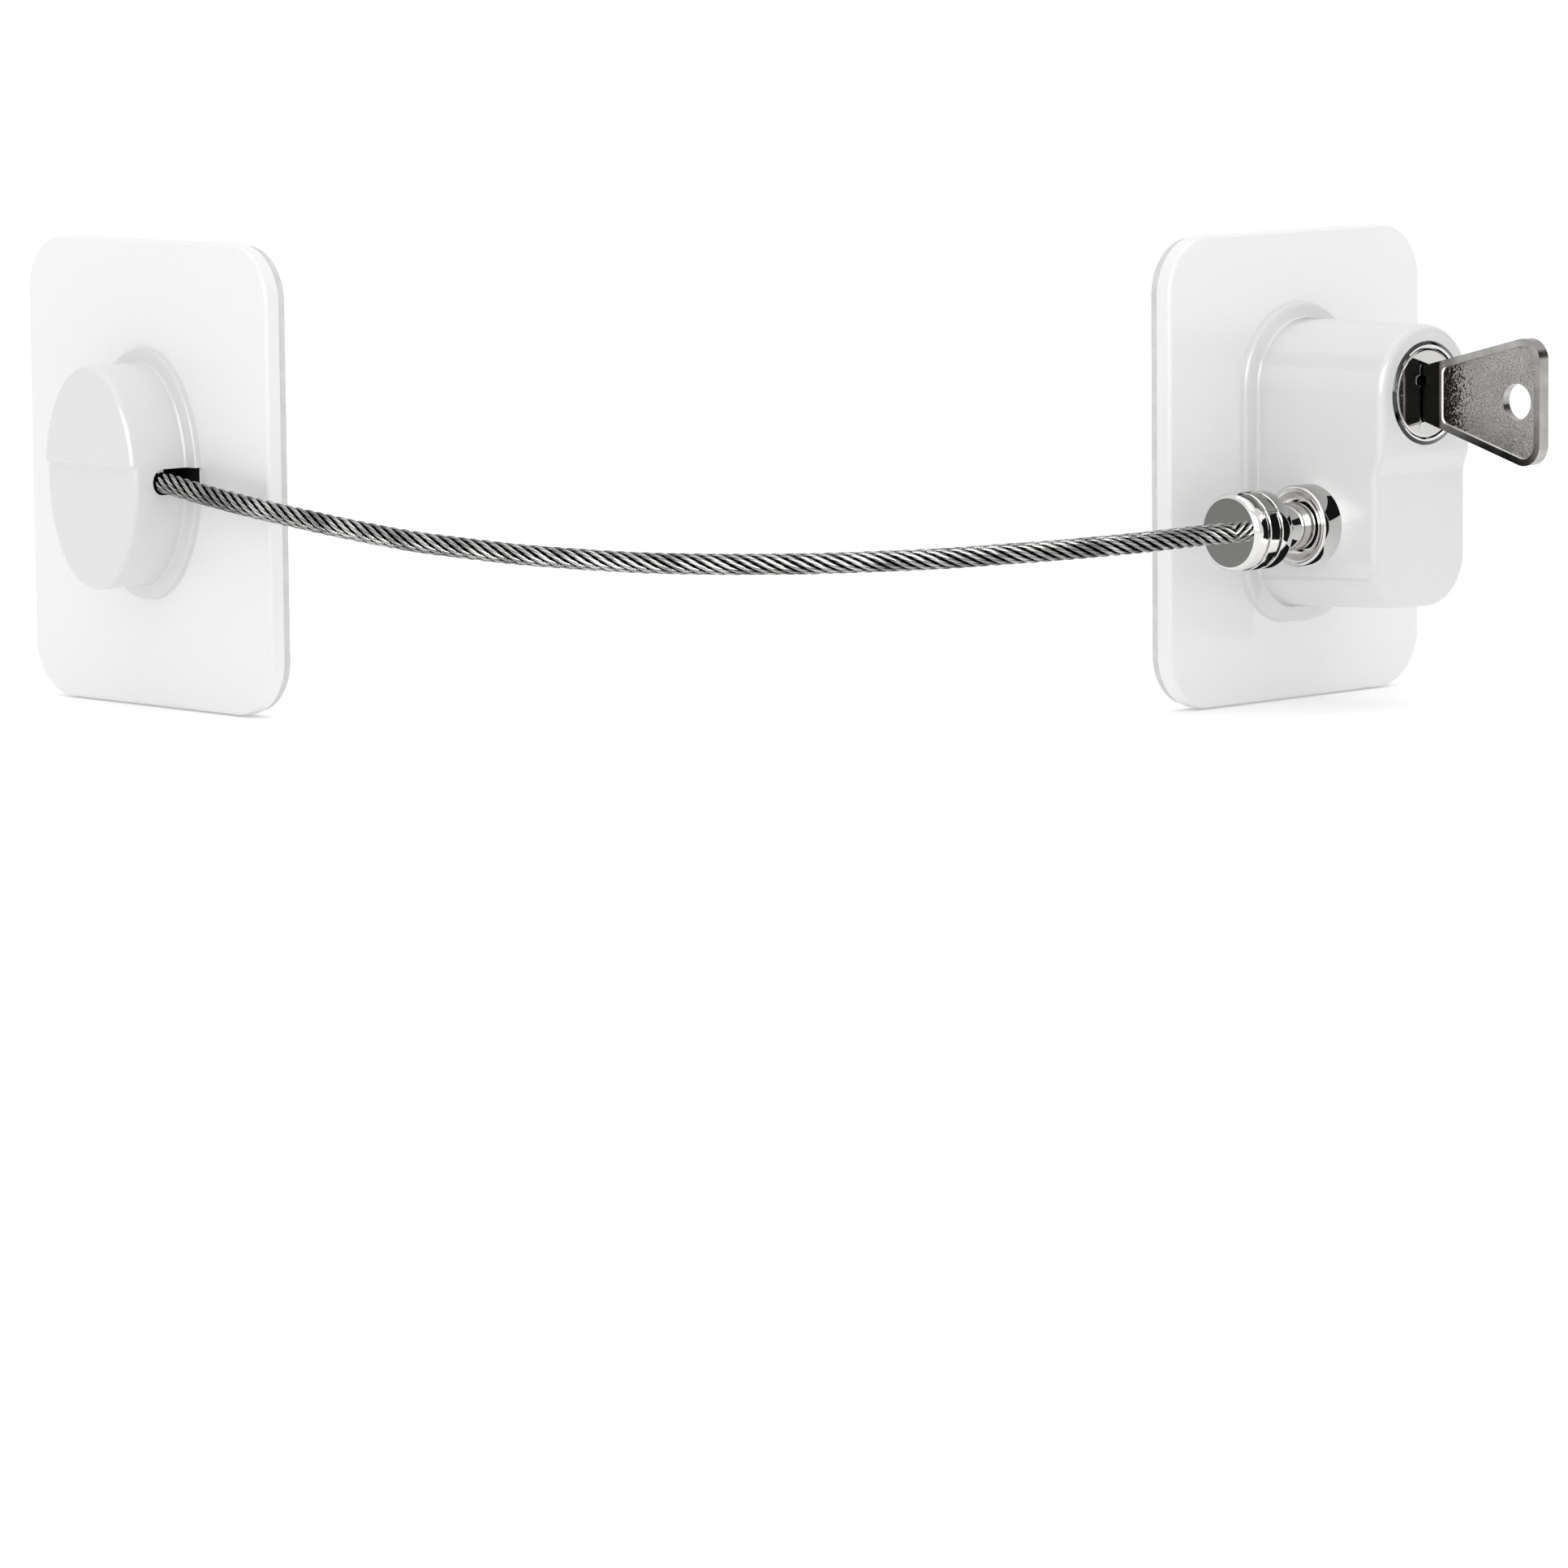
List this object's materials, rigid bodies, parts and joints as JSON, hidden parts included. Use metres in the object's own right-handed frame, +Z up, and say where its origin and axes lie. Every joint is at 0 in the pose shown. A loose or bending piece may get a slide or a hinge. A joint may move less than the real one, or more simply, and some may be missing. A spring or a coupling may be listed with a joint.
{
  "type": "window restrictor cable",
  "caption": "White key lock and round-cornered cable anchor on self-adhesive plates, joined by a bare steel wire rope that limits how far a window opens.",
  "frame": {"origin": "centre of the back of the lock's adhesive pad", "axes": "+Y into the surface the lock is stuck to, +Z up, +X towards the side of the lock away from the cable"},
  "size_m": [0.1333, 0.1639, 0.058],
  "materials": {
    "white_plastic": "smooth gloss white moulding",
    "adhesive_foam": "white foam tape",
    "chrome": "polished chrome plate",
    "steel": "zinc-plated steel",
    "nickel": "nickel plate, blasted panel with a polished rim",
    "brass": "stamped brass",
    "rubber": "black rubber",
    "wire_rope": "bare stranded stainless wire"
  },
  "bodies": {
    "lock": {"lock_adhesive_pad": "adhesive_foam", "lock_base_plate": "white_plastic", "lock_housing": "white_plastic", "lock_screw_1": "steel", "lock_screw_2": "steel", "lock_screw_3": "steel", "lock_screw_4": "steel", "cylinder_shell": "chrome", "cylinder_retainer": "steel", "socket_bushing": "chrome", "socket_nut": "chrome", "socket_grip_ring": "rubber", "latch_guide": "steel", "latch_spring": "steel"},
    "rotor": {"cylinder_rotor": "chrome", "rotor_circlip": "steel", "rotor_cam": "steel", "cam_screw": "steel"},
    "key_body": {"key": "nickel"},
    "wafer_1_body": {"wafer_1": "brass"},
    "wafer_2_body": {"wafer_2": "brass"},
    "wafer_3_body": {"wafer_3": "brass"},
    "wafer_4_body": {"wafer_4": "brass"},
    "latch_body": {"latch": "steel"},
    "plug": {"cable_plug": "chrome", "cable_lock_half": "wire_rope"},
    "anchor": {"cable_anchor_half": "wire_rope", "cable_stop": "chrome", "anchor_cover": "white_plastic", "anchor_base_plate": "white_plastic", "anchor_adhesive_pad": "adhesive_foam", "anchor_screw_1": "steel", "anchor_screw_2": "steel"}
  },
  "joints": [
    {"name": "cylinder_turn", "type": "hinge", "parent": "lock", "child": "rotor", "pos_m": [0, -0.02465, 0.0099], "axis": [0, 1, 0], "range_deg": [0, 90.02]},
    {"name": "key_slide", "type": "slide", "parent": "rotor", "child": "key_body", "axis": [0, -1, 0], "range_m": [0, 0.024]},
    {"name": "wafer_1_slide", "type": "slide", "parent": "rotor", "child": "wafer_1_body", "axis": [0, 0, 1], "range_m": [-0.00071, 0.00071]},
    {"name": "wafer_2_slide", "type": "slide", "parent": "rotor", "child": "wafer_2_body", "axis": [0, 0, 1], "range_m": [-0.00071, 0.00071]},
    {"name": "wafer_3_slide", "type": "slide", "parent": "rotor", "child": "wafer_3_body", "axis": [0, 0, 1], "range_m": [-0.00071, 0.00071]},
    {"name": "wafer_4_slide", "type": "slide", "parent": "rotor", "child": "wafer_4_body", "axis": [0, 0, 1], "range_m": [-0.00071, 0.00071]},
    {"name": "latch_slide", "type": "slide", "parent": "lock", "child": "latch_body", "axis": [0, 0, -1], "range_m": [0, 0.0015], "stiffness_N_per_m": 60, "springref_m": -0.004, "deforming": ["latch_spring"]},
    {"name": "plug_slide", "type": "slide", "parent": "lock", "child": "plug", "axis": [-1, 0, 0], "range_m": [-0.005, 0.02]},
    {"name": "cable_flex", "type": "hinge", "parent": "plug", "child": "anchor", "pos_m": [-0.0857, 0.0239, -0.0076], "axis": [0, 0, 1], "range_deg": [-30, 60], "stiffness_Nm_per_rad": 0.02, "deforming": ["cable_anchor_half"]}
  ],
  "couplings": [
    {"joint": "cylinder_turn", "follows": "latch_slide", "rad_per_m": 1047.2},
    {"joint": "wafer_1_slide", "follows": "key_slide", "ratio": 0.029167},
    {"joint": "wafer_2_slide", "follows": "key_slide", "ratio": -0.029167},
    {"joint": "wafer_3_slide", "follows": "key_slide", "ratio": 0.029167},
    {"joint": "wafer_4_slide", "follows": "key_slide", "ratio": -0.029167}
  ]
}
